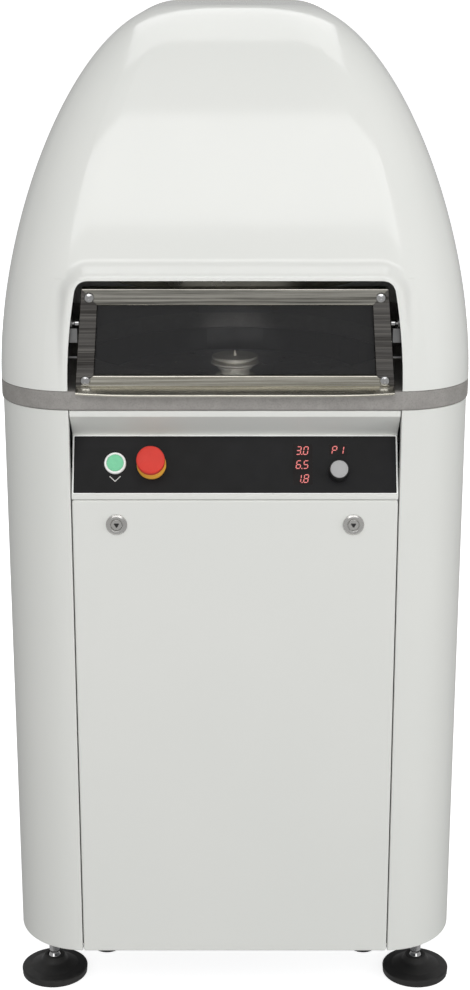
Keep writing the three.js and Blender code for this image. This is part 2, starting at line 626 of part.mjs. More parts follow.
function addFlap() {
  const { front, back, sheet, bottom, top, bottomHalf, topHalf } = FLAP;
  const outer = trapezium(bottomHalf, topHalf, bottom, top);
  const blank = inElevation(shapeOf(outer), [front, back]);
  const hollow = inElevation(
    shapeOf(trapezium(bottomHalf - sheet, topHalf - sheet, bottom + sheet, top - sheet)),
    [front + 6, back + 1],
  );
  const sight = inElevation(
    shapeOf(trapezium(PANE.bottomHalf, PANE.topHalf, PANE.bottom, PANE.top)),
    [front - 1, front + 20],
  );
  add("flap_frame", join(cut(blank, hollow, sight), flapLip()), "stainless");
  const { lap, thick } = PANE;
  const glazing = trapezium(PANE.bottomHalf + lap, PANE.topHalf + lap, PANE.bottom - lap, PANE.top + lap);
  const seat = front + 6 + GAP;
  add("flap_pane", inElevation(shapeOf(glazing), [seat, seat + thick]), "pane");
  const start = flapHalfAt(PIVOT.z) + GAP;
  for (const [side, sign] of SIDES) {
    const pin = alongX(rod(PIVOT.radius, [start, 227]));
    if (sign < 0) pin.rotateZ(Math.PI);
    add(`flap_pivot_${side}`, pin, "chrome", 0, PIVOT.y, PIVOT.z);
    add(`flap_bracket_${side}`, flapBracket(sign), "steel");
  }
}

// Carries one end of the flap: a wall beside the opening with the pivot's eye, a tab under the pivot, and
// the stop that the flap closes against. Drawn for the right-hand side.
function flapBracket(sign) {
  const { y, z, radius } = PIVOT;
  const span = (a, b) => (sign > 0 ? [a, b] : [-b, -a]);
  const wall = box(span(223, 226), [-315, -286], [984, 1047]);
  const foot = box(span(225, 242), [-315, -312], [984, 1030]);
  const eye = alongX(rod(6.2, [-4.5, 4.5])).translate(sign * 220.5, y, z);
  const tab = box(span(209, 224), [-317, -314], [1012, 1031]);
  const stop = box(span(204, 224), [-303.6, -290], [988, 990.5]);
  const bore = alongX(rod(radius + GAP, [-20, 20])).translate(sign * 221.5, y, z);
  return cut(join(wall, foot, eye, tab, stop), bore);
}

addChassis();
addCabinet();
addDoor();
addFascia();
addControls();
addTable();
addRoundingDrive();
addMotor();
addServices();
addHead();
addHood();
addHoodHinges();
addFlap();

export default machine;
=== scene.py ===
import math

import bmesh
import bpy
from mathutils import Matrix, Vector


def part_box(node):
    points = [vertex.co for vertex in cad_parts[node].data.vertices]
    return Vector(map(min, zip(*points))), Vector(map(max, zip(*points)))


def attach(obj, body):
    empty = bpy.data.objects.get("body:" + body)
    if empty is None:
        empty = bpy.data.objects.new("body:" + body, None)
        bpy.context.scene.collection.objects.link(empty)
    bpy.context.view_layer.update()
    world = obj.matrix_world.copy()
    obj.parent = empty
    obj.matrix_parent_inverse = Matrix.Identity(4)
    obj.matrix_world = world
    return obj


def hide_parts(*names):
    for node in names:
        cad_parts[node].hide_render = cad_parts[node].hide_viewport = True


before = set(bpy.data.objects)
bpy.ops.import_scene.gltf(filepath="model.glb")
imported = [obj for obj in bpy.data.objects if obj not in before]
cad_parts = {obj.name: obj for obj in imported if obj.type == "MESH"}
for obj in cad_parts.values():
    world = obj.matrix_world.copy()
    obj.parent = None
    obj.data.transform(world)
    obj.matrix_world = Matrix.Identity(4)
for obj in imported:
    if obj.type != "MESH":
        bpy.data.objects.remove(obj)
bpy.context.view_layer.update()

# Lengths are in millimetres, in the CAD frame, and become metres where a mesh is made.
MM = 0.001
SIDES = (("left", -1), ("right", 1))
CABINET_HALF = 320.0
CABINET_DEPTH = 330.0
CABINET_CORNER = 100.0
CABINET_FOOT = 111.6
scene = bpy.context.scene


def span(node):
    """Lowest and highest corner of a CAD node, in millimetres."""
    low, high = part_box(node)
    return low / MM, high / MM


# ---- Mesh building ------------------------------------------------------------------------------------
TURNS = {
    "up": Matrix.Identity(4),
    "front": Matrix.Rotation(math.pi / 2, 4, "X"),
    "right": Matrix.Rotation(math.pi / 2, 4, "Y"),
    "left": Matrix.Rotation(-math.pi / 2, 4, "Y"),
}


def at(x=0.0, y=0.0, z=0.0, towards="up"):
    """Places a form drawn along +Z: its foot goes to the point, and it points that way."""
    return Matrix.Translation((x, y, z)) @ TURNS[towards]


def filleted(points, closed=True, steps=5):
    """Rounds the corners of a line. Each point is (x, y), or (x, y, radius) where it is rounded."""
    line = []
    for i, point in enumerate(points):
        here = Vector(point[:2])
        ends = not closed and i in (0, len(points) - 1)
        if len(point) == 2 or ends:
            line.append(here)
            continue
        before = Vector(points[i - 1][:2]) - here
        after = Vector(points[(i + 1) % len(points)][:2]) - here
        reach = point[2] / math.tan(before.angle(after) / 2)
        reach = min(reach, 0.499 * before.length, 0.499 * after.length)
        start, end = here + before.normalized() * reach, here + after.normalized() * reach
        for k in range(steps + 1):
            t = k / steps
            line.append(start.lerp(here, t).lerp(here.lerp(end, t), t))
    return line


def arc(x, y, radius, start, end, steps):
    """Points of an arc, with its angles in degrees."""
    angles = (math.radians(start + (end - start) * i / steps) for i in range(steps + 1))
    return [(x + radius * math.cos(a), y + radius * math.sin(a)) for a in angles]


def rounded_rectangle(x0, x1, y0, y1, radius, steps=6):
    """The outline of a rectangle with round corners, counter-clockwise from the lower right corner."""
    centres = ((x1 - radius, y0 + radius), (x1 - radius, y1 - radius), (x0 + radius, y1 - radius),
               (x0 + radius, y0 + radius))
    line = []
    for i, (x, y) in enumerate(centres):
        line += arc(x, y, radius, 90 * (i - 1), 90 * i, steps)
    return line


class Form:
    """Points and faces of one piece, in millimetres."""

    def __init__(self):
        self.points = []
        self.faces = []

    def add(self, points, faces, place=None):
        first = len(self.points)
        moved = (Vector(p) for p in points)
        self.points += [place @ p if place else p for p in moved]
        self.faces += [tuple(first + i for i in face) for face in faces]
        return self

    def rings(self, rings, place=None, closed=True, ends=(True, True)):
        """A skin over rings of equal length, with a face across each end that is wanted."""
        count = len(rings[0])
        points = [p for ring in rings for p in ring]
        across = count if closed else count - 1
        faces = []
        for level in range(len(rings) - 1):
            for i in range(across):
                a, b = level * count + i, level * count + (i + 1) % count
                faces.append((a, b, b + count, a + count))
        if ends[0]:
            faces.append(tuple(reversed(range(count))))
        if ends[1]:
            last = (len(rings) - 1) * count
            faces.append(tuple(range(last, last + count)))
        return self.add(points, faces, place)

    def prism(self, outline, low, high, place=None):
        """An outline in the local XY plane, carried along Z."""
        return self.rings([[(x, y, h) for x, y in outline] for h in (low, high)], place)

    def turned(self, profile, place=None, steps=48, closed=False):
        """A profile of (radius, height) points turned about Z. It starts and ends on the axis, or closes."""
        line = filleted(profile, closed=closed, steps=4)
        points, rows = [], []
        for radius, height in line:
            if radius < 1e-6:
                rows.append([len(points)] * steps)
                points.append((0, 0, height))
                continue
            rows.append(list(range(len(points), len(points) + steps)))
            for i in range(steps):
                a = 2 * math.pi * i / steps
                points.append((radius * math.cos(a), radius * math.sin(a), height))
        faces = []
        pairs = list(zip(rows, rows[1:])) + ([(rows[-1], rows[0])] if closed else [])
        for low, high in pairs:
            for i in range(steps):
                j = (i + 1) % steps
                face = list(dict.fromkeys((low[i], low[j], high[j], high[i])))
                if len(face) > 2:
                    faces.append(tuple(face))
        return self.add(points, faces, place)

    def box(self, x, y, z):
        """A box from (low, high) along each axis."""
        outline = [(x[0], y[0]), (x[1], y[0]), (x[1], y[1]), (x[0], y[1])]
        return self.prism(outline, z[0], z[1])


def baked(obj):
    """Makes what the modifiers give the piece's own mesh."""
    graph = bpy.context.evaluated_depsgraph_get()
    mesh = bpy.data.meshes.new_from_object(obj.evaluated_get(graph))
    obj.modifiers.clear()
    obj.data = mesh


def weighted(obj):
    """Keeps broad flat faces flat to the light beside small rounded edges."""
    obj.data.shade_smooth()
    obj.data.set_sharp_from_angle(angle=math.radians(38))
    normals = obj.modifiers.new("normals", "WEIGHTED_NORMAL")
    normals.keep_sharp = True


def bevel(obj, width, segments=2, angle=40):
    """Rounds the edges that turn by more than the angle."""
    edge = obj.modifiers.new("edges", "BEVEL")
    edge.width = width * MM
    edge.segments = segments
    edge.limit_method = "ANGLE"
    edge.angle_limit = math.radians(angle)
    edge.harden_normals = False


def piece(name, form, material, body, replaces=(), edge=0.0, sheet=0.0, segments=2, even=True):
    """Makes a piece from a form. sheet thickens a surface inwards, and edge rounds its edges.

    even keeps a thickened sheet's thickness at its corners, where an open sheet may grow spikes.
    """
    mesh = bpy.data.meshes.new(name)
    mesh.from_pydata([p * MM for p in form.points], [], form.faces)
    tidy = bmesh.new()
    tidy.from_mesh(mesh)
    bmesh.ops.remove_doubles(tidy, verts=tidy.verts, dist=1e-6)
    bmesh.ops.recalc_face_normals(tidy, faces=tidy.faces)
    tidy.to_mesh(mesh)
    tidy.free()
    mesh.materials.append(material)
    obj = bpy.data.objects.new(name, mesh)
    scene.collection.objects.link(obj)
    if sheet:
        thick = obj.modifiers.new("sheet", "SOLIDIFY")
        thick.thickness = sheet * MM
        thick.offset = -1
        thick.use_even_offset = even
    if edge:
        bevel(obj, edge, segments)
    if sheet or edge:
        baked(obj)
    weighted(obj)
    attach(obj, body)
    if replaces:
        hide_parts(*replaces)


# ---- Materials ----------------------------------------------------------------------------------------
class Shade:
    """A Principled material built up in steps, patterned in the object's own space."""

    def __init__(self, name, color, roughness, metallic=0.0, **sockets):
        self.material = bpy.data.materials.new(name)
        self.material.use_nodes = True
        self.tree = self.material.node_tree
        self.bsdf = self.tree.nodes["Principled BSDF"]
        self.color = (*color, 1.0)
        self.set("Base Color", self.color)
        self.set("Roughness", roughness)
        self.set("Metallic", metallic)
        for socket, value in sockets.items():
            self.set(socket.replace("_", " "), value)
        self.place = self.node("ShaderNodeTexCoord").outputs["Object"]
        self.height = None

    def set(self, socket, value):
        self.bsdf.inputs[socket].default_value = value

    def node(self, kind, **settings):
        made = self.tree.nodes.new(kind)
        for name, value in settings.items():
            setattr(made, name, value)
        return made

    def link(self, source, target):
        self.tree.links.new(source, target)

    def stretched(self, scale):
        mapping = self.node("ShaderNodeMapping")
        mapping.inputs["Scale"].default_value = scale
        self.link(self.place, mapping.inputs["Vector"])
        return mapping.outputs["Vector"]

    def noise(self, scale, detail=3.0, stretch=None, rough=0.55):
        made = self.node("ShaderNodeTexNoise")
        self.link(self.stretched(stretch) if stretch else self.place, made.inputs["Vector"])
        made.inputs["Scale"].default_value = scale
        made.inputs["Detail"].default_value = detail
        made.inputs["Roughness"].default_value = rough
        return made.outputs["Fac"]

    def cells(self, scale):
        made = self.node("ShaderNodeTexVoronoi")
        self.link(self.place, made.inputs["Vector"])
        made.inputs["Scale"].default_value = scale
        return made.outputs["Distance"]

    def ranged(self, value, low, high, start=0.3, end=0.7):
        made = self.node("ShaderNodeMapRange")
        made.inputs["From Min"].default_value = start
        made.inputs["From Max"].default_value = end
        made.inputs["To Min"].default_value = low
        made.inputs["To Max"].default_value = high
        self.link(value, made.inputs["Value"])
        return made.outputs["Result"]

    def tint(self, value, other, low=0.0, high=1.0, start=0.3, end=0.7):
        """Mixes another colour in where the value is high."""
        mix = self.node("ShaderNodeMix", data_type="RGBA")
        self.link(self.ranged(value, low, high, start, end), mix.inputs["Factor"])
        colour = self.bsdf.inputs["Base Color"]
        if colour.links:
            self.link(colour.links[0].from_socket, mix.inputs["A"])
        else:
            mix.inputs["A"].default_value = self.color
        mix.inputs["B"].default_value = (*other, 1.0)
        self.link(mix.outputs["Result"], colour)
        return self

    def rough(self, value, low, high, start=0.3, end=0.7):
        self.link(self.ranged(value, low, high, start, end), self.bsdf.inputs["Roughness"])
        return self

    def bump(self, value, depth, strength=1.0):
        """Adds relief of that depth in millimetres."""
        made = self.node("ShaderNodeBump")
        made.inputs["Distance"].default_value = depth * MM
        made.inputs["Strength"].default_value = strength
        self.link(value, made.inputs["Height"])
        if self.height:
            self.link(self.height, made.inputs["Normal"])
        self.height = made.outputs["Normal"]
        self.link(self.height, self.bsdf.inputs["Normal"])
        return self


def gel_coat():
    """Glossy moulded hood skin: faint waviness under a clear gloss."""
    s = Shade("gel_coat", (0.79, 0.795, 0.765), 0.16, Coat_Weight=0.35, Coat_Roughness=0.06)
    s.tint(s.noise(3.5, 2), (0.765, 0.775, 0.745))
    s.rough(s.noise(14, 4), 0.13, 0.2)
    return s.bump(s.noise(9, 2), 0.05).bump(s.noise(900, 2), 0.004).material


def powder_coat(name="powder_coat", color=(0.74, 0.745, 0.715), deep=(0.715, 0.725, 0.695)):
    """Satin sheet-metal paint with a fine orange peel."""
    s = Shade(name, color, 0.36)
    s.tint(s.noise(2.2, 3), deep)
    s.rough(s.noise(40, 4), 0.32, 0.42)
    return s.bump(s.noise(420, 3), 0.02).bump(s.noise(5, 1), 0.05).material


def table_paint():
    """Textured grey coat on the cast table."""
    s = Shade("table_paint", (0.265, 0.255, 0.24), 0.6)
    s.tint(s.noise(60, 6, rough=0.7), (0.335, 0.32, 0.305))
    s.tint(s.noise(460, 3), (0.2, 0.195, 0.185), 0, 0.6, 0.5, 0.75)
    s.rough(s.noise(200, 3), 0.5, 0.72)
    return s.bump(s.noise(330, 4, rough=0.7), 0.12).material


def stainless(name, color, dark, light):
    """Polished stainless sheet, drawn sideways: its broad dark and light streaks are painted reflections."""
    s = Shade(name, color, 0.2, 1.0)
    # Dark streaks, then light streaks: painted reflections stretched across the sheet.
    s.tint(s.noise(1.0, 5, (3.0, 60.0, 190.0), 0.7), dark, 0, 0.9, 0.42, 0.62)
    s.tint(s.noise(1.0, 3, (2.0, 40.0, 420.0)), light, 0, 0.7, 0.5, 0.7)
    s.rough(s.noise(1.0, 4, (6.0, 300.0, 1500.0)), 0.16, 0.3)
    return s.bump(s.noise(1.0, 3, (10.0, 900.0, 3000.0)), 0.006).material


def bare_metal(name, color, roughness, grain=600.0, metallic=1.0):
    """Machined or plated metal with a fine grain and faint stains."""
    s = Shade(name, color, roughness, metallic)
    s.tint(s.noise(22, 4), tuple(0.82 * c for c in color))
    s.rough(s.noise(60, 4), roughness * 0.8, roughness * 1.25)
    return s.bump(s.noise(grain, 3), 0.008).material


def lathe_turned():
    """Alloy faced on a lathe: fine rings that draw a light out into streaks through the centre."""
    s = Shade("lathe_turned", (0.5, 0.5, 0.52), 0.32, 1.0, Anisotropic=0.85)
    tangent = s.node("ShaderNodeTangent", direction_type="RADIAL", axis="Z")
    s.link(tangent.outputs["Tangent"], s.bsdf.inputs["Tangent"])
    s.tint(s.noise(30, 4), (0.4, 0.4, 0.42))
    s.rough(s.noise(50, 3), 0.26, 0.38)
    return s.bump(s.noise(900, 2), 0.004).material


def plastic(name, color, roughness, relief=0.01, spread=0.9, **sockets):
    """Moulded plastic with a faint texture and slight colour drift."""
    s = Shade(name, color, roughness, **sockets)
    s.tint(s.noise(30, 3), tuple(spread * c for c in color))
    s.rough(s.noise(90, 3), roughness * 0.85, roughness * 1.2)
    return s.bump(s.noise(700, 3), relief).material


def rubber():
    """Dull black rubber with faint stains."""
    s = Shade("rubber", (0.013, 0.013, 0.013), 0.5)
    s.tint(s.noise(55, 5), (0.024, 0.023, 0.022))
    s.rough(s.noise(35, 4), 0.42, 0.62)
    return s.bump(s.noise(260, 4), 0.03).material


def smoked_pane():
    """Dark plastic that can be seen through."""
    s = Shade("smoked_pane", (0.034, 0.034, 0.035), 0.05, Alpha=0.42)
    s.rough(s.noise(25, 4), 0.04, 0.09)
    return s.bump(s.noise(6, 2), 0.02).material


def control_film():
    """The satin black film over the control plate."""
    s = Shade("control_film", (0.012, 0.012, 0.012), 0.42, Specular_IOR_Level=0.12)
    s.tint(s.noise(12, 3), (0.015, 0.015, 0.016))
    s.rough(s.noise(50, 3), 0.38, 0.48)
    return s.bump(s.cells(1600), 0.006).material


def glowing(name, color, strength):
    """A lit segment, with a fine grain in its colour."""
    s = Shade(name, color, 0.3, Emission_Color=(*color, 1.0), Emission_Strength=strength)
    s.tint(s.noise(500, 2), tuple(0.7 * c for c in color))
    return s.material


GEL_COAT = gel_coat()
POWDER = powder_coat()
TABLE_PAINT = table_paint()
STAINLESS = stainless("stainless", (0.6, 0.58, 0.52), (0.12, 0.115, 0.1), (0.8, 0.78, 0.7))
# A lighter copy of the stainless for the flap's foot bar and lip: painted highlight.
PAINTED_HIGHLIGHT_SHEET = stainless("stainless_painted_highlight", (0.86, 0.83, 0.73), (0.42, 0.4, 0.33), (0.96, 0.93, 0.84))
# A darker copy of the stainless for the flap's side bars: painted shade.
PAINTED_SHADE_SHEET = stainless("stainless_painted_shade", (0.22, 0.21, 0.2), (0.07, 0.065, 0.06), (0.42, 0.4, 0.37))
CHROME = bare_metal("chrome", (0.72, 0.72, 0.72), 0.09)
NICKEL = bare_metal("nickel", (0.88, 0.87, 0.84), 0.24)
STEEL = bare_metal("machined_steel", (0.42, 0.42, 0.42), 0.34)
ALUMINIUM = bare_metal("turned_aluminium", (0.62, 0.62, 0.63), 0.3)
TURNED_DISC = lathe_turned()
CAST = bare_metal("cast_alloy", (0.93, 0.89, 0.77), 0.3)
HUB_ALLOY = bare_metal("hub_alloy", (0.82, 0.79, 0.7), 0.36, metallic=0.3)
DARK_STEEL = bare_metal("dark_steel", (0.1, 0.1, 0.1), 0.5)
BRONZE = bare_metal("bronze", (0.5, 0.3, 0.11), 0.35)
RUBBER = rubber()
PANE = smoked_pane()
FILM = control_film()
# The green lens and the white plastic carry a faint emission in their own colour: a painted glow that
# brightens them.
GREEN_PAINTED_GLOW = plastic("green_lens", (0.2, 0.62, 0.36), 0.25, Emission_Color=(0.2, 0.62, 0.36, 1.0),
                Emission_Strength=0.12, Specular_IOR_Level=0.25)
WHITE_PAINTED_GLOW = plastic("white_plastic", (0.93, 0.94, 0.92), 0.3, Emission_Color=(1.0, 1.0, 0.97, 1.0),
                Emission_Strength=0.1)
RED = plastic("red_plastic", (0.7, 0.05, 0.035), 0.42, Specular_IOR_Level=0.25)
YELLOW = plastic("yellow_plastic", (0.84, 0.42, 0.06), 0.4, Specular_IOR_Level=0.25)
BLACK = plastic("black_plastic", (0.012, 0.012, 0.012), 0.4)
GREY = plastic("grey_plastic", (0.42, 0.42, 0.42), 0.45)
CREAM = plastic("press_plastic", (0.72, 0.72, 0.68), 0.45)
DISPLAY = plastic("display_lens", (0.013, 0.011, 0.011), 0.4, Specular_IOR_Level=0.12)
DIGIT = glowing("digit_light", (0.72, 0.17, 0.16), 0.5)
MARK = plastic("print_white", (0.62, 0.62, 0.6), 0.5)
MOTOR_PAINT = powder_coat("motor_paint", (0.07, 0.14, 0.24), (0.055, 0.12, 0.2))
FRAME_PAINT = powder_coat("frame_paint", (0.2, 0.21, 0.22), (0.17, 0.18, 0.19))
BOX_PAINT = powder_coat("enclosure_paint", (0.5, 0.5, 0.48), (0.46, 0.46, 0.45))


# ---- Hood ---------------------------------------------------------------------------------------------
HOOD_BASE = 949.3
HOOD_TOP = 1440.0
HOOD_INSET = 237.0
HOOD_RISE = 211.0
HOOD_FLAT = 131.0
HOOD_CONTROL = (
    (0.0, HOOD_BASE),
    (0.0, HOOD_BASE + HOOD_RISE),
    (HOOD_INSET - HOOD_FLAT, HOOD_TOP),
    (HOOD_INSET, HOOD_TOP),
)
HOOD_HALF = (322.0, 332.0)
HOOD_REAR_LEAN = 0.3
HOOD_CORNERS = (102.0, 70.0)
WINDOW_BOTTOM_HALF = 222.8
WINDOW_TOP_HALF = 207.9
WINDOW_SHOULDER = 2.9
WINDOW_TOP = 1097.0
WINDOW_ROUND = 16.0
WINDOW_COLUMNS = 12
RIM = 9.0
TOP_RIM = 6.0
SURROUND_WIDTH = 34.0
SURROUND_CORNER = 26.0
SURROUND_SLOPE = 1.27
SURROUND_BLEND = 5.0


def hood_curve(t):
    """(inset from the base outline, height) along the hood's side."""
    weights = ((1 - t) ** 3, 3 * (1 - t) ** 2 * t, 3 * (1 - t) * t * t, t ** 3)
    return tuple(sum(w * p[k] for w, p in zip(weights, HOOD_CONTROL)) for k in (0, 1))


def hood_parameter(height):
    """Where on the hood's curve a height is reached."""
    low, high = 0.0, 1.0
    for _ in range(40):
        middle = (low + high) / 2
        if hood_curve(middle)[1] < height:
            low = middle
        else:
            high = middle
    return low


def window_half(z):
    """Half width of the window at a height: upright at its foot, leaning in more and more above it."""
    share = (z - HOOD_BASE) / (WINDOW_TOP - WINDOW_ROUND - HOOD_BASE)
    return WINDOW_BOTTOM_HALF + (WINDOW_TOP_HALF + WINDOW_SHOULDER - WINDOW_BOTTOM_HALF) * share * share


def hood_corner(inset):
    """Radius of the hood's corners in plan, which tighten as it leans in."""
    base, top = HOOD_CORNERS
    return base - (base - top) * inset / HOOD_INSET


def ramp(d, soft=3.0):
    """Nothing below zero, then a straight slope, with a soft start."""
    if d <= -soft:
        return 0.0
    return d if d >= soft else (d + soft) ** 2 / (4 * soft)


def surround(x, z):
    """Depth of the raised surround: flat at the rim, then falling away round its outside."""
    across = abs(x) - (window_half(min(z, WINDOW_TOP)) + RIM - SURROUND_CORNER)
    up = z - (WINDOW_TOP + TOP_RIM - SURROUND_CORNER)
    outside = math.hypot(across, up) if across > 0 and up > 0 else max(across, up)
    return -HOOD_HALF[1] + SURROUND_SLOPE * ramp(outside - SURROUND_CORNER)


def front_depth(x, z, inset):
    """Depth of the hood's front at a place, with its surround blended in."""
    half, corner = HOOD_HALF[0] - inset, hood_corner(inset)
    beyond = min(max(0.0, abs(x) - (half - corner)), corner)
    skin = -HOOD_HALF[1] + inset + corner - math.sqrt(corner ** 2 - beyond ** 2)
    reach = max(0.01, min(SURROUND_BLEND, inset))
    raised = surround(x, z)
    overlap = max(reach - abs(skin - raised), 0.0)
    return min(skin, raised) - overlap ** 2 / (4 * reach)


def hood_rows():
    """(height, inset, half width of the window) of each ring, from the base to the flat top."""
    side_rows, round_rows, brow_rows, dome_rows = 20, 8, 19, 44
    side_top = WINDOW_TOP - WINDOW_ROUND
    heights = [HOOD_BASE + (side_top - HOOD_BASE) * i / side_rows for i in range(side_rows)]
    rows = [(z, window_half(z)) for z in heights]
    for i in range(round_rows + 1):
        t = i / round_rows
        height = WINDOW_TOP - WINDOW_ROUND * (1 - t) ** 2
        wide = WINDOW_TOP_HALF + WINDOW_SHOULDER * (1 - t) ** 2 - WINDOW_ROUND * t * t
        rows.append((height, wide))
    rows += [(WINDOW_TOP + 2 * i, None) for i in range(1, brow_rows + 1)]
    first = hood_parameter(WINDOW_TOP + 2 * brow_rows)
    dome = [first + (1 - first) * i / dome_rows for i in range(1, dome_rows + 1)]
    rows += [(hood_curve(t)[1], None) for t in dome]
    top_inset = hood_curve(hood_parameter(WINDOW_TOP))[0]
    top_half = WINDOW_TOP_HALF - WINDOW_ROUND
    made = []
    for height, wide in rows:
        inset = hood_curve(hood_parameter(height))[0] if height < HOOD_TOP - 1e-6 else HOOD_INSET
        if wide is None:
            wide = top_half * (HOOD_HALF[0] - inset) / (HOOD_HALF[0] - top_inset)
        made.append((height, inset, wide))
    return made


def hood_ring(z, inset, wide):
    """Half of a ring, from the middle of the front round to the middle of the rear."""
    half, corner = HOOD_HALF[0] - inset, hood_corner(inset)
    rear = HOOD_HALF[1] - HOOD_REAR_LEAN * inset
    front = -HOOD_HALF[1] + inset
    surround_width = SURROUND_WIDTH * half / HOOD_HALF[0]
    front_turn = 58
    turn = half - corner + corner * math.sin(math.radians(front_turn))
    across = [wide * i / WINDOW_COLUMNS for i in range(WINDOW_COLUMNS + 1)]
    across += [wide + surround_width * i / 12 for i in range(1, 13)]
    across += [across[-1] + (turn - across[-1]) * i / 6 for i in range(1, 7)]
    ring = [(x, front_depth(x, z, inset), z) for x in across]
    ring += [(x, y, z) for x, y in arc(half - corner, front + corner, corner, front_turn - 90, 0, 5)[1:]]
    ring += [(half, front + corner + (rear - front - 2 * corner) * i / 10, z) for i in range(1, 10)]
    ring += [(x, y, z) for x, y in arc(half - corner, rear - corner, corner, 0, 90, 12)]
    ring += [((half - corner) * (1 - i / 6), rear, z) for i in range(1, 7)]
    return ring


def make_hood():
    rows = hood_rows()
    rings = []
    for z, inset, wide in rows:
        right = hood_ring(z, inset, wide)
        rings.append([(-x, y, z) for x, y, z in reversed(right[1:-1])] + right)
    top = rings[-1]
    middle_y = sum(y for _, y, _ in top) / len(top)
    for share in (0.8, 0.55, 0.3):
        rings.append([(x * share, middle_y + (y - middle_y) * share, z) for x, y, z in top])
    count = len(rings[0])
    middle = len(hood_ring(*rows[0])) - 2
    top_row = next(i for i, row in enumerate(rows) if abs(row[0] - WINDOW_TOP) < 1e-6)
    form = Form()
    faces = []
    for level in range(len(rings) - 1):
        for i in range(count):
            if level < top_row and middle - WINDOW_COLUMNS <= i < middle + WINDOW_COLUMNS:
                continue
            j = (i + 1) % count
            low, high = level * count, (level + 1) * count
            faces.append((low + i, low + j, high + j, high + i))
    faces.append(tuple(range((len(rings) - 1) * count, len(rings) * count)))
    form.add([p for ring in rings for p in ring], faces)
    piece("hood_skin", form, GEL_COAT, "hood", ["hood_shell"], edge=1.6, sheet=5, segments=3)


# ---- Machine table and cabinet skins ------------------------------------------------------------------
def divided(line, longest=30.0, parts=24):
    """Splits the long straight sides of a closed line into equal parts."""
    points = []
    for i, point in enumerate(line):
        here, after = Vector(point), Vector(line[(i + 1) % len(line)])
        count = parts if (after - here).length > longest else 1
        points += [here.lerp(after, k / count) for k in range(count)]
    return points


def make_table():
    low, high = span("machine_table")
    edge, well = 3.0, 236.0
    bent = [(edge + 8, low.z), (0, low.z, edge), (0, high.z, edge), (edge + 8, high.z)]
    rings = []
    for inset, z in filleted(bent, closed=False):
        corner = HOOD_CORNERS[0] - inset
        line = rounded_rectangle(low.x + inset, high.x - inset, low.y + inset, high.y - inset, corner, 16)
        rings.append([(x, y, z) for x, y in divided(line)])
    directions = [Vector(point[:2]).normalized() for point in rings[0]]
    for radius, z in ((well + 1.5, high.z), (well, high.z - 2), (well, low.z + 2), (well + 1.5, low.z)):
        rings.append([(d.x * radius, d.y * radius, z) for d in directions])
    rings.append(rings[0])
    form = Form().rings(rings, ends=(False, False))
    piece("table_plate", form, TABLE_PAINT, "cabinet", ["machine_table"])


def wrap_line(inset, sign):
    """Plan of a wrap-round side panel with a short return at each end, pulled in by the inset."""
    half, depth, corner = CABINET_HALF - inset, CABINET_DEPTH - inset, CABINET_CORNER - inset
    centre = (CABINET_HALF - CABINET_CORNER, CABINET_DEPTH - CABINET_CORNER)
    end, hem = 222.5, 12
    line = [(half, y) for y in (-150, -50, 50, 150)]
    for way in (-1, 1):
        turn = [p for p in arc(centre[0], way * centre[1], corner, way * 90, 0, 24) if p[0] > end + 0.1]
        back = filleted([(end, way * (depth - hem)), (end, way * depth, 2.5), turn[0]], closed=False, steps=4)
        ends = [tuple(p) for p in back[:-1]] + turn
        line = ends + line if way < 0 else line + ends[::-1]
    return [(sign * x, y) for x, y in line]


def make_side_panels():
    for side, sign in SIDES:
        low, high = span(f"side_panel_{side}")
        bend = 3.0
        section = filleted([(14, low.z), (0, low.z, bend), (0, high.z)], closed=False, steps=4)
        section[-1:] = [Vector((0, low.z + 240)), Vector((0, low.z + 480)), Vector((0, high.z))]
        rings = [[(x, y, z) for x, y in wrap_line(inset, sign)] for inset, z in section]
        form = Form().rings(rings, closed=False, ends=(False, False))
        piece(f"side_skin_{side}", form, POWDER, "cabinet", [f"side_panel_{side}"],
              edge=0.5, sheet=2.4, even=False)


def pan(x, z, face, depth, bend):
    """A shallow tray of bent sheet with its face towards the front."""
    rings = []
    line = filleted([(0, depth), (0, 0, bend), (bend + 2, 0)], closed=False, steps=5)
    for inset, back in line:
        corner = max(0.4, 3.5 - inset)
        around = rounded_rectangle(x[0] + inset, x[1] - inset, z[0] + inset, z[1] - inset, corner, 4)
        rings.append([(a, face + back, b) for a, b in around])
    return Form().rings(rings, ends=(False, True))


def make_door():
    low, high = span("front_door")
    form = pan((low.x, high.x), (low.z, high.z), low.y, depth=14, bend=4)
    piece("door_skin", form, POWDER, "door", ["front_door"], edge=0.4, sheet=2.0)
    stiff = Form()
    section = [(-22, 0), (-14, 12, 2), (14, 12, 2), (22, 0), (20, 0), (13, 10, 1), (-13, 10, 1), (-20, 0)]
    for x in (-120, 120):
        stiff.prism(filleted(section), 150, 740, at(x, low.y + 2.4, 0))
    piece("door_stiffeners", stiff, POWDER, "door", edge=0.3)


# The control panel leans back. Places on it are x across and s up from its foot, and height out of it.
PANEL_FOOT = (-CABINET_DEPTH, 804.8)
PANEL_LENGTH = 84.91
PANEL_DEPTH = 40.0
PANEL_LEAN = math.asin(PANEL_DEPTH / PANEL_LENGTH)
PLATE_HALF = 218.5
PLATE_FOOT = 2.6
PLATE_HEAD = 81.4
FILM_FACE = 1.9
TRIM_WIDTH = 1.3
MAIN_DISPLAY = ((78.6, 105.4), (13.6, 70.4))
SMALL_DISPLAY = ((127.6, 153.4), (54.6, 70.4))
START = (-162.4, 43.3)
ESTOP = (-113.2, 41.2)
SELECTOR = (140.3, 31.5)
LOCK = (161.0, 763.0)


def on_panel(x=0.0, s=0.0, height=0.0):
    """Places a form drawn flat, x across and y up the panel, on to the leaning panel."""
    foot = Matrix.Translation((0, PANEL_FOOT[0], PANEL_FOOT[1]))
    return foot @ Matrix.Rotation(math.pi / 2 - PANEL_LEAN, 4, "X") @ Matrix.Translation((x, s, height))


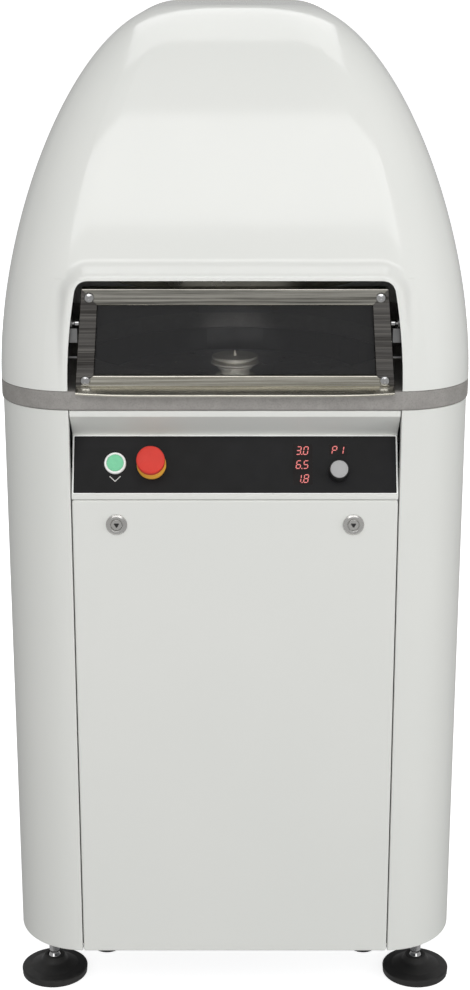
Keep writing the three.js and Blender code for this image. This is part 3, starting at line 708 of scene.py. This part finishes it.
def make_fascia():
    low, high = span("control_fascia")
    face, foot = PANEL_FOOT
    head, brow, panel_head, sill, strike = 922.3, 914.0, 879.7, 798.2, -299.6
    line = [(face + 30, head), (face, head, 2.2), (face, brow, 2.2), (face + PANEL_DEPTH, panel_head, 2.2),
            (face, foot, 2.0), (face, sill, 1.6), (strike, sill, 1.6), (strike, low.z)]
    section = filleted(line, closed=False, steps=4)
    stations = [low.x + (high.x - low.x) * i / 8 for i in range(9)]
    rings = [[(x, y, z) for y, z in section] for x in stations]
    form = Form().rings(rings, closed=False, ends=(False, False))
    piece("fascia_sheet", form, POWDER, "cabinet", ["control_fascia"], edge=0.3, sheet=2.2)
    plate = rounded_rectangle(-PLATE_HALF, PLATE_HALF, PLATE_FOOT, PLATE_HEAD, 1.2)
    film = Form().prism(plate, 0.3, FILM_FACE, on_panel())
    piece("control_face", film, FILM, "cabinet", ["control_plate"], edge=0.3)
    make_trim()


def make_trim():
    """The thin white edging around the control film, in the white plastic with a painted glow."""
    foot, head = 0.3, FILM_FACE + 0.4
    outer, inner = TRIM_WIDTH, 0.2
    rings = []
    for height, reach in ((foot, outer), (head, outer), (head, inner), (foot, inner), (foot, outer)):
        half = PLATE_HALF + reach
        around = rounded_rectangle(-half, half, PLATE_FOOT - reach, PLATE_HEAD + reach, 1.6, 4)
        rings.append([(x, s, height) for x, s in around])
    trim = Form().rings(rings, on_panel(), ends=(False, False))
    piece("control_trim", trim, WHITE_PAINTED_GLOW, "cabinet")


SEGMENTS = {"0": "abcdef", "1": "bc", "3": "abcdg", "5": "acdfg", "6": "acdefg", "8": "abcdefg", "P": "abefg"}


def digit_segments(character, x, z, height=10.6, width=5.6, stroke=1.25, lean=0.17):
    """Outlines of a slanted seven-segment character, with its centre at x, z."""
    w, h = width / 2, height / 2
    lines = {"a": ((-w, h), (w, h)), "b": ((w, h), (w, 0)), "c": ((w, 0), (w, -h)), "d": ((-w, -h), (w, -h)),
             "e": ((-w, 0), (-w, -h)), "f": ((-w, h), (-w, 0)), "g": ((-w, 0), (w, 0))}
    outlines = []
    for key in SEGMENTS[character]:
        start, end = (Vector(p) for p in lines[key])
        along = (end - start).normalized()
        side = Vector((-along.y, along.x)) * stroke / 2
        start, end = start + along * 0.35, end - along * 0.35
        tip = along * stroke / 2
        six = [start, start + tip - side, end - tip - side, end, end - tip + side, start + tip + side]
        outlines.append([(x + p.x + lean * p.y, z + p.y) for p in six])
    return outlines


def make_displays():
    windows = Form()
    for x, s in (MAIN_DISPLAY, SMALL_DISPLAY):
        windows.prism(rounded_rectangle(*x, *s, 1), -5, FILM_FACE + 0.12, on_panel())
    piece("display_windows", windows, DISPLAY, "cabinet", ["display_unit"], edge=0.1)
    digits = Form()
    rows = (("3", 86.6, 61.4), ("0", 96.2, 61.4), ("6", 86.3, 41.9), ("5", 96.2, 41.9), ("1", 86.6, 22.5),
            ("8", 96.4, 22.5), ("P", 135.1, 61.9), ("1", 144.4, 61.9))
    for character, x, s in rows:
        for outline in digit_segments(character, x, s):
            digits.prism(outline, FILM_FACE + 0.05, FILM_FACE + 0.3, on_panel())
    decimal_points = ((90.7, 56.1), (90.6, 36.6), (90.8, 17.2))
    for x, s in decimal_points:
        digits.prism(arc(x, s, 0.8, 0, 360, 12)[:-1], FILM_FACE + 0.05, FILM_FACE + 0.3, on_panel())
    piece("display_digits", digits, DIGIT, "cabinet")


def make_start_mark():
    """The plain chevron under the start button."""
    x, s = START[0], 17.9
    chevron = [(x - 7.8, s + 7.4), (x, s), (x + 7.8, s + 7.4), (x + 7, s + 8.2), (x, s + 1.6),
               (x - 7, s + 8.2)]
    mark = Form().prism(chevron, FILM_FACE - 0.1, FILM_FACE + 0.15, on_panel())
    piece("start_mark", mark, MARK, "cabinet")


# ---- Controls -----------------------------------------------------------------------------------------
def panel_piece(name, profile, place, material, body, replaces=(), steps=64, closed=False):
    """A turned piece standing out of the leaning panel, with heights measured from the panel's sheet."""
    form = Form().turned(profile, on_panel(*place), steps, closed)
    piece(name, form, material, body, replaces)


def make_start_button():
    bezel = [(11.9, 2.5), (11.9, 7.3, 0.6), (14.0, 7.3, 1.2), (14.8, 5.4, 0.6), (14.8, 2.0), (11.2, 2.0),
             (11.2, -18), (9.4, -18), (9.4, 2.5)]
    panel_piece("start_ring", bezel, START, WHITE_PAINTED_GLOW, "cabinet", ["start_bezel"], closed=True)
    cap = [(0, -22), (9, -22), (9, 6.6), (11.3, 6.6), (11.3, 7.4, 0.4), (9.6, 7.4, 0.3), (9.0, 7.1, 0.3),
           (0, 6.8)]
    panel_piece("start_lens", cap, START, GREEN_PAINTED_GLOW, "start_button", ["start_cap"])


def make_emergency_stop():
    collar = [(9.7, 2.2), (19.9, 2.2, 0.4), (19.9, 6.5, 1), (18.5, 8.4, 1), (13.5, 17.4, 1), (9.7, 17.4)]
    panel_piece("estop_ring", collar, ESTOP, YELLOW, "cabinet", ["estop_collar"],
                closed=True)
    stem = [(0, -18), (9.2, -18), (9.2, 25.5, 0.5), (0, 25.5)]
    panel_piece("estop_neck", stem, ESTOP, BLACK, "estop_plunger", ["estop_stem"])
    head = [(0, 25.8), (9.5, 25.8), (9.5, 23.5), (18, 23.5, 1), (19.2, 26, 1.5), (19.2, 36.4, 2.6), (0, 38.6)]
    panel_piece("estop_mushroom", head, ESTOP, RED, "estop_mushroom", ["estop_head"], steps=80)


def make_selector():
    shaft = [(0, -18), (3, -18), (3, 16, 0.4), (0, 16)]
    panel_piece("selector_spindle", shaft, SELECTOR, STEEL, "selector_stem", ["selector_shaft"])
    skirt = [(3.3, 3.9), (13.8, 3.9, 0.6), (13.3, 20.4, 1.0), (12.1, 20.9, 0.2), (12.0, 19.6), (3.3, 19.6)]
    panel_piece("selector_body", skirt, SELECTOR, BLACK, "selector", closed=True)
    cap = [(0, 19.7), (11.8, 19.7), (12.0, 21.8, 0.5), (11.6, 22.6, 0.6), (10.0, 22.6, 0.3),
           (9.6, 22.3, 0.3), (0, 22.4)]
    panel_piece("selector_cap", cap, SELECTOR, GREY, "selector", ["selector_knob"])


def make_locks():
    for side, sign in SIDES:
        place = at(sign * LOCK[0], -CABINET_DEPTH, LOCK[1], "front")
        rose = [(8.1, -18), (10.9, -18), (10.9, 0.3), (14.6, 0.3, 0.3), (14.6, 1.6, 0.8), (12.0, 3.6, 1.2),
                (9.2, 3.6, 0.5), (8.1, 2.6, 0.3)]
        piece(f"lock_rose_{side}", Form().turned(rose, place, 64, closed=True), NICKEL, "door",
              [f"lock_housing_{side}"])
        key = filleted([(x, y, 0.8) for x, y in arc(0, 0, 4.6, -90, 150, 2)])
        outer = arc(0, 0, 7.7, -90, 270, len(key))[:-1]
        chamfer = [(0.95 * a, 0.95 * b) for a, b in outer]
        levels = [(outer, -36.2), (outer, 2.0), (chamfer, 2.6), (key, 2.6), (key, 0.5)]
        barrel = Form().rings([[(a, b, h) for a, b in line] for line, h in levels], place)
        cam = rounded_rectangle(-7, 28, -6, 6, 5) if sign < 0 else rounded_rectangle(-28, 7, -6, 6, 5)
        barrel.prism(cam, -39.4, -36.2, place)
        piece(f"lock_cylinder_{side}", barrel, NICKEL, f"lock_{side}", [f"lock_barrel_{side}"],
              edge=0.3)
        # A dark insert on the key recess's floor: painted shade in the keyway.
        well = Form().prism([0.9 * point for point in key], 0.6, 1.0, place)
        piece(f"lock_keyway_painted_shade_{side}", well, DARK_STEEL, f"lock_{side}")


# ---- Feet ---------------------------------------------------------------------------------------------
def below(node):
    """Places a form on the floor under the middle of a CAD node."""
    low, high = span(node)
    return at((low.x + high.x) / 2, (low.y + high.y) / 2, 0)


def make_foot(corner):
    place = below(f"foot_{corner}")
    pad = [(0, 0), (49.4, 0, 1), (50.2, 9.8, 1.5), (48.0, 11.4, 1.2), (36, 13.2, 6), (20, 21.5, 8),
           (15.2, 29.6, 1.6), (10.6, 29.6, 0.8), (10.2, 25), (0, 25)]
    piece(f"pad_{corner}", Form().turned(pad, place, 96), RUBBER, "cabinet", [f"foot_{corner}"])
    neck = [(0, 25.2), (9.4, 25.2), (9.6, 29, 2), (6.4, 33.4, 1.5), (6.4, 36), (7.2, 37)]
    shank = neck + thread(37, 84, 7.9, 7.1, 2.0) + [(7.9, CABINET_FOOT), (0, CABINET_FOOT)]
    piece(f"stud_{corner}", Form().turned(shank, place, 40), CHROME, "cabinet")
    nut = arc(0, 0, 14.4, 0, 360, 6)[:-1]
    piece(f"lock_nut_{corner}", Form().prism(nut, 97, 108.6, place), STEEL, "cabinet", edge=0.8)


def make_feet():
    for end in ("front", "rear"):
        for side, _ in SIDES:
            make_foot(f"{end}_{side}")
    for side, _ in SIDES:
        place = below(f"door_rest_{side}")
        profile = [(0, 101), (16, 101, 1), (19.6, 103, 1.2), (19.6, 106.5, 0.6), (18, 108.6), (8, 108.6),
                   (8, CABINET_FOOT), (0, CABINET_FOOT)]
        piece(f"rest_stud_{side}", Form().turned(profile, place, 48), DARK_STEEL, "cabinet",
              [f"door_rest_{side}"])


def thread(low, high, outer, inner, pitch):
    """Profile of a threaded stretch, drawn as close ridges."""
    line = []
    for i in range(int((high - low) / pitch)):
        z = low + i * pitch
        line += [(inner, z), (outer, z + pitch * 0.4), (outer, z + pitch * 0.6)]
    return line


# ---- Flap ---------------------------------------------------------------------------------------------
FLAP_FACE = -326.0
FLAP_FOOT = (213.0, 949.8)
FLAP_HEAD = (201.6, 1085.4)
PANE_FOOT = (187.6, 969.3)
PANE_HEAD = (181.0, 1063.6)
PANE_TUCK = 8.0
FLAP_AXIS = (-312.0, 1037.5)
FLAP_SCREWS = (("top", 191.5, 1074.0), ("foot", 199.0, 962.4))
LIP_FRONT = -343.8
LIP_EDGE = 946.6
LIP_FALL = 0.483


def trapezium(low_half, high_half, bottom, top, radius=0.0):
    """The outline of the pane or the frame: two half widths, at the bottom and the top."""
    return filleted([(low_half, bottom, radius), (high_half, top, radius), (-high_half, top, radius),
                     (-low_half, bottom, radius)], steps=4)


def flap_bar(name, outer, inner, material, replaces=()):
    """One side of the frame, mitred at both ends. outer and inner hold the (x, z) ends of its two edges."""
    section = [(0.0, 22), (0.0, 0.9), (0.03, 0.2), (0.08, 0.0), (0.9, 0.0), (0.96, 0.5), (1.0, 1.6),
               (1.0, 5.6), (0.08, 5.6), (0.08, 22)]
    along = (Vector(outer[1]) - Vector(outer[0])).normalized()
    rings = []
    for end, inset in ((0, 0.12), (1, -0.12)):
        edge, sight = Vector(outer[end]), Vector(inner[end])
        points = [(edge.lerp(sight, share) + along * inset, back) for share, back in section]
        rings.append([(p.x, FLAP_FACE + back, p.y) for p, back in points])
    piece(name, Form().rings(rings), material, "flap", replaces, edge=0.2)


def make_flap():
    corners = [(-1, FLAP_FOOT, PANE_FOOT), (1, FLAP_FOOT, PANE_FOOT), (1, FLAP_HEAD, PANE_HEAD),
               (-1, FLAP_HEAD, PANE_HEAD)]
    outer = [(sign * edge[0], edge[1]) for sign, edge, _ in corners]
    inner = [(sign * edge[0], edge[1]) for sign, _, edge in corners]
    # The foot bar takes the painted highlight copy of the stainless, and the side bars take the painted shade
    # copy.
    sides = (("foot", PAINTED_HIGHLIGHT_SHEET), ("right", PAINTED_SHADE_SHEET), ("head", STAINLESS),
             ("left", PAINTED_SHADE_SHEET))
    for i, (side, material) in enumerate(sides):
        j = (i + 1) % 4
        ends = (outer[i], outer[j]), (inner[i], inner[j])
        flap_bar(f"flap_bar_{side}", *ends, material, ["flap_frame"] if side == "foot" else ())
    glass = trapezium(PANE_FOOT[0] + PANE_TUCK, PANE_HEAD[0] + PANE_TUCK, PANE_FOOT[1] - PANE_TUCK,
                      PANE_HEAD[1] + PANE_TUCK, 4)
    pane = Form().prism(glass, 0, 4.4, at(0, -315.3, 0, "front"))
    piece("flap_glazing", pane, PANE, "flap", ["flap_pane"], edge=0.4)
    make_lip()
    for side, sign in SIDES:
        make_flap_fixings(side, sign)
        make_bracket(side, sign)


def make_flap_fixings(side, sign):
    """The dome screws down one side of the frame and the pin it swings on."""
    head = [(0, 0), (7.0, 0, 0.2), (7.0, 1.0, 0.6), (5.6, 3.2, 2.4), (2.2, 4.4, 1.5), (2.0, 3.4), (0, 3.4)]
    for end, x, z in FLAP_SCREWS:
        screw = Form().turned(head, at(sign * x, FLAP_FACE, z, "front"), 40)
        piece(f"flap_screw_{end}_{side}", screw, CHROME, "flap")
    low, high = span(f"flap_pivot_{side}")
    start, towards = (low.x, "right") if sign > 0 else (high.x, "left")
    pin = [(0, 0), (3.0, 0, 0.5), (3.8, 1.0, 0.8), (3.8, 6.4, 0.8), (2.6, 7.4, 0.5), (2.6, 21), (0, 21)]
    form = Form().turned(pin, at(start, *FLAP_AXIS, towards), 32)
    piece(f"flap_pin_{side}", form, CHROME, "flap", [f"flap_pivot_{side}"])


def make_lip():
    """The grip along the flap's foot: it falls forward over the table's edge, and its ends sweep back. Its
    sheet is the lighter copy of the stainless, a painted highlight.
    """
    half, straight, sweep, root = 211.6, 130.0, 850.0, -324.4
    rings = []
    for i in range(49):
        x = half * (i / 24 - 1)
        beyond = max(0.0, abs(x) - straight)
        front = LIP_FRONT + sweep - math.sqrt(sweep ** 2 - beyond ** 2)
        section = [(root, 0), (front + 1.4, 0), (front + 0.5, -0.2), (front + 0.1, -0.7), (front, -1.3),
                   (front, -2.5), (root, -2.5)]
        rings.append([(x, y, LIP_EDGE + (y - LIP_FRONT) * LIP_FALL + lower) for y, lower in section])
    piece("flap_lip", Form().rings(rings), PAINTED_HIGHLIGHT_SHEET, "flap")


def make_bracket(side, sign):
    """The bent plates beside the window: pivot plate, its front flange, and two tabs."""
    def across(a, b):
        return (a, b) if sign > 0 else (-b, -a)

    form = Form()
    form.box(across(223, 225.4), (-315, -286), (984, 1047))
    form.box(across(225.2, 242), (-315, -312.6), (984, 1030))
    form.box(across(209, 223.4), (-317, -314.6), (1012, 1031))
    form.box(across(204, 223.4), (-303.4, -290), (988, 990.4))
    piece(f"flap_plate_{side}", form, STEEL, "hood", [f"flap_bracket_{side}"], edge=0.4)
    eye = [(4.1, -4.5), (6.2, -4.5, 0.4), (6.2, 4.5, 0.4), (4.1, 4.5)]
    form = Form().turned(eye, at(sign * 220.5, *FLAP_AXIS, "right"), 32, closed=True)
    piece(f"flap_eye_{side}", form, STEEL, "hood")


# ---- Rounding table and press head --------------------------------------------------------------------
def make_rounding_table():
    disc = [(0, 884), (195, 884, 1), (196, 886), (196, 895, 1), (0, 896)]
    piece("rounder_disc", Form().turned(disc, None, 128), TURNED_DISC, "rounding_table",
          ["rounding_table"])
    hub = [(0, 896.3), (29, 896.3, 0.5), (29, 898.4, 0.6), (22, 900.4, 1.5), (22, 908), (26, 908, 0.4),
           (26, 911.5, 1.4), (20, 911.5), (20, 915), (36, 915, 0.5), (36, 918, 1.4), (20, 918), (20, 923),
           (35, 923, 0.5), (35, 927, 1.6), (2.2, 927, 0.5), (2.0, 932.4, 0.5), (1.2, 934.4, 0.8), (0, 934.4)]
    piece("centre_hub", Form().turned(hub, None, 64), HUB_ALLOY, "rounding_table", ["plate_hub"])


def make_press():
    bell = [(190, 1060, 0.6), (211, 1060, 1.2), (212, 1128, 1), (206, 1135, 5), (60, 1135, 3),
            (56, 1131, 2), (11.5, 1131), (11.5, 1120), (186, 1120, 4), (190, 1116)]
    piece("press_ring", Form().turned(bell, None, 128, closed=True), CAST, "press_head",
          ["press_bell"])
    rod = [(11.5, 1135.3), (22.4, 1135.3, 0.5), (22.4, 1396, 1), (11.5, 1396)]
    piece("ram_rod", Form().turned(rod, None, 56, closed=True), CHROME, "press_head",
          ["piston_rod"])
    cylinder = [(22.8, 1235), (50.5, 1235, 1), (52, 1238, 1), (52, 1421, 1), (48, 1425, 1), (0, 1425),
                (0, 1413), (22.8, 1413)]
    piece("ram_barrel", Form().turned(cylinder, None, 72, closed=True), STEEL, "cabinet",
          ["press_cylinder"])


# ---- CAD nodes that stay as they are ------------------------------------------------------------------
def keep(names, material, edge=0.0):
    """Dresses CAD nodes in a material, with a rounded edge where one is given."""
    for name in names:
        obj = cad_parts[name]
        obj.data.materials.clear()
        obj.data.materials.append(material)
        obj.data.shade_smooth()
        obj.data.set_sharp_from_angle(angle=math.radians(30))
        if edge:
            bevel(obj, edge, 2, 30)


def dress_kept_nodes():
    keep(["base_plate", "cabinet_frame", "head_pillar", "head_arm"], FRAME_PAINT, 1.0)
    keep(["rear_panel"], POWDER, 0.3)
    keep(["cable_gland", "drive_belt"], RUBBER, 0.3)
    keep(["well_pan"], DARK_STEEL, 0.6)
    keep(["main_bearing"], BRONZE, 0.4)
    keep(["main_crank", "side_crank_left", "side_crank_right", "motor_pulley", "hinge_base_left",
          "hinge_base_right", "hinge_leaf_left", "hinge_leaf_right", "knife_star"], STEEL, 0.3)
    keep(["crank_pulley"], DARK_STEEL, 0.6)
    keep(["press_plate"], CREAM, 0.4)
    keep(["drive_motor", "pump_motor"], MOTOR_PAINT, 1.0)
    keep(["hydraulic_tank"], FRAME_PAINT, 1.5)
    keep(["electrical_box"], BOX_PAINT, 1.5)


# ---- Studio, in metres --------------------------------------------------------------------------------
STUDIO_REACH = 40.0
CAMERA_PLACE = (0, -2.6706, 1.5017)
CAMERA_TILT = 16.575
CAMERA_LENS = 65.65


def area_light(name, place, target, size, power, reflected=True):
    """A rectangular softbox. One that is not reflected lights the pieces without showing in their gloss."""
    data = bpy.data.lights.new(name, "AREA")
    data.shape = "RECTANGLE"
    data.size, data.size_y = size
    data.energy = power
    light = bpy.data.objects.new(name, data)
    scene.collection.objects.link(light)
    light.location = place
    light.visible_glossy = reflected
    light.rotation_euler = (Vector(target) - Vector(place)).to_track_quat("-Z", "Y").to_euler()


def hub_spot(place, target, power):
    """A narrow lamp inside the chamber, on the hub alone."""
    data = bpy.data.lights.new("hub_spot", "SPOT")
    data.energy = power
    data.spot_size = math.radians(19)
    data.spot_blend = 0.3
    data.shadow_soft_size = 0.012
    lamp = bpy.data.objects.new("hub_spot", data)
    scene.collection.objects.link(lamp)
    lamp.location = place
    lamp.rotation_euler = (Vector(target) - Vector(place)).to_track_quat("-Z", "Y").to_euler()


def make_room():
    """A pale floor with a round wall far off, which gives no light but its own glow to the camera."""
    edge = arc(0, 0, STUDIO_REACH, 0, 360, 48)[:-1]
    room = Form().rings([[(x, y, z) for x, y in edge] for z in (0.0, STUDIO_REACH)], ends=(True, False))
    mesh = bpy.data.meshes.new("studio_floor")
    mesh.from_pydata(room.points, [], room.faces)
    floor = bpy.data.objects.new("studio_floor", mesh)
    scene.collection.objects.link(floor)
    floor.visible_glossy = False
    floor.visible_diffuse = False
    floor.visible_shadow = False
    paper = Shade("paper", (0.8, 0.8, 0.8), 0.9, Emission_Color=(1.0, 1.0, 1.0, 1.0), Emission_Strength=0.8)
    paper.tint(paper.noise(2, 2), (0.79, 0.79, 0.79))
    mesh.materials.append(paper.material)


def make_studio():
    make_room()
    world = bpy.data.worlds.new("studio")
    scene.world = world
    world.use_nodes = True
    background = world.node_tree.nodes["Background"]
    background.inputs["Color"].default_value = (1.0, 1.0, 1.0, 1.0)
    background.inputs["Strength"].default_value = 0.385
    area_light("front_softbox", (0, -2.86, 3.13), (0, -0.3, 1.2), (4.3, 1.7), 38)
    area_light("front_fill", (0, -5.3, 0.75), (0, 0, 0.7), (4.4, 2.2), 90, reflected=False)
    area_light("overhead", (0, 1.5, 4.0), (0, 1.2, 0), (3.0, 3.7), 46)
    area_light("back_fill", (0, 5.3, 1.6), (0, 0, 1.0), (4.4, 2.2), 60, reflected=False)
    hub_spot((0, -0.26, 0.968), (0, 0, 0.918), 2.0)
    area_light("side_fill", (3.6, -1.8, 0.7), (0, 0, 0.5), (1.6, 2.6), 30, reflected=False)
    scene.view_settings.view_transform = "Standard"


def make_camera():
    """Straight on from the front and above, tilted down."""
    data = bpy.data.cameras.new("camera")
    data.sensor_width = 36
    data.lens = CAMERA_LENS
    data.clip_end = 400
    camera = bpy.data.objects.new("camera", data)
    scene.collection.objects.link(camera)
    camera.location = CAMERA_PLACE
    camera.rotation_euler = (math.radians(90 - CAMERA_TILT), 0, 0)
    scene.camera = camera


make_camera()
make_hood()
make_table()
make_side_panels()
make_door()
make_fascia()
make_displays()
make_start_mark()
make_start_button()
make_emergency_stop()
make_selector()
make_locks()
make_feet()
make_flap()
make_rounding_table()
make_press()
dress_kept_nodes()
make_studio()
